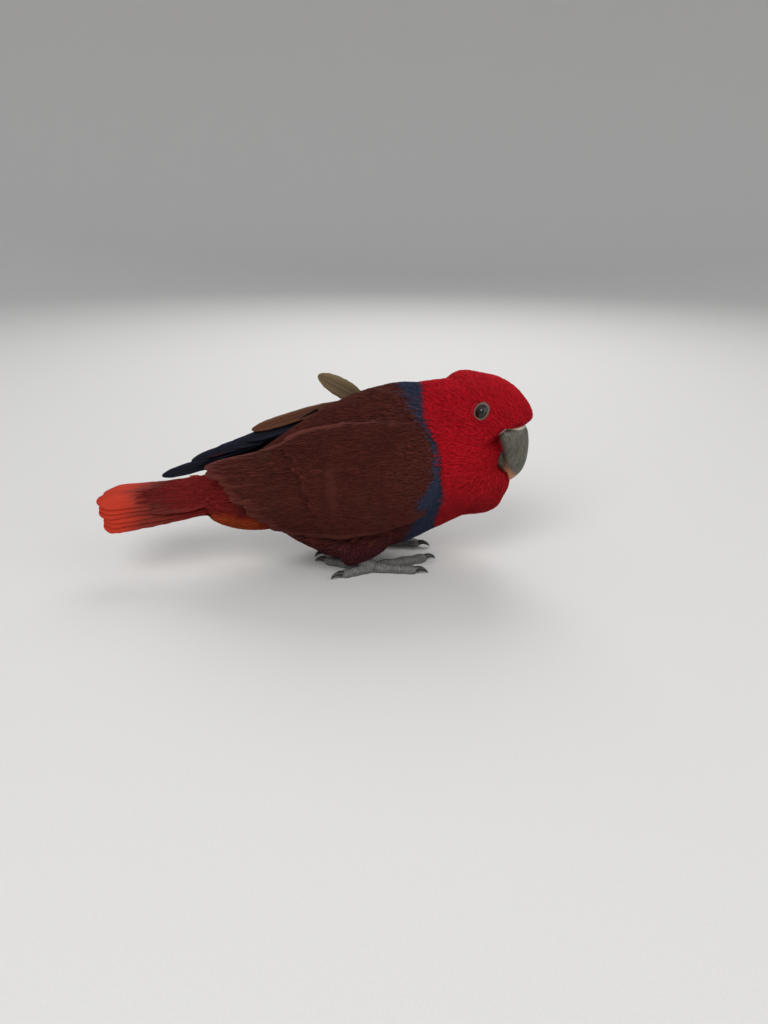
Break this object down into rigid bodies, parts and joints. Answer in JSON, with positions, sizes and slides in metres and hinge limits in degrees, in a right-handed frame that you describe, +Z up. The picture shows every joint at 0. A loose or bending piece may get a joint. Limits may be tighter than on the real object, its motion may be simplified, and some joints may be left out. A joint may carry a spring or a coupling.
{
  "type": "eclectus parrot",
  "caption": "Still, life-size red parrot hen crouching on the floor, folded wings, bright tail tip, her head turned to her right with the hooked bill down.",
  "frame": {"origin": "middle of the bounding box at the floor, under the bird", "axes": "+X the way her body faces, along its longest extent; +Y to her left; +Z up"},
  "size_m": [0.2826, 0.095, 0.1278],
  "materials": {
    "body_plumage": "soft maroon-brown contour feathers with a slate-blue collar and belly",
    "head_plumage": "fine hair-like scarlet feathers",
    "wing_feathers": "smooth dull maroon-brown coverts and secondaries",
    "flight_feathers": "blue-black flight feathers, faint sheen",
    "tail_feathers": "maroon-red tail with a bright orange-red tip",
    "bill": "charcoal horn, satin, paler at the tip and base edge",
    "eye": "wet dark eye",
    "foot_skin": "grey scaly toes",
    "claw": "satin black claws"
  },
  "bodies": {
    "root": {"torso": "body_plumage", "neck": "head_plumage", "head": "head_plumage", "bill_upper": "bill", "bill_lower": "bill", "tail": "tail_feathers", "eye_left": "eye", "eye_right": "eye", "wing_left": "wing_feathers", "wing_right": "wing_feathers", "primaries_left": "flight_feathers", "primaries_right": "flight_feathers", "thigh_left": "body_plumage", "thigh_right": "body_plumage", "foot_left": "foot_skin", "foot_right": "foot_skin", "claw_hallux_left": "claw", "claw_inner_left": "claw", "claw_middle_left": "claw", "claw_outer_left": "claw", "claw_hallux_right": "claw", "claw_inner_right": "claw", "claw_middle_right": "claw", "claw_outer_right": "claw"}
  },
  "joints": []
}
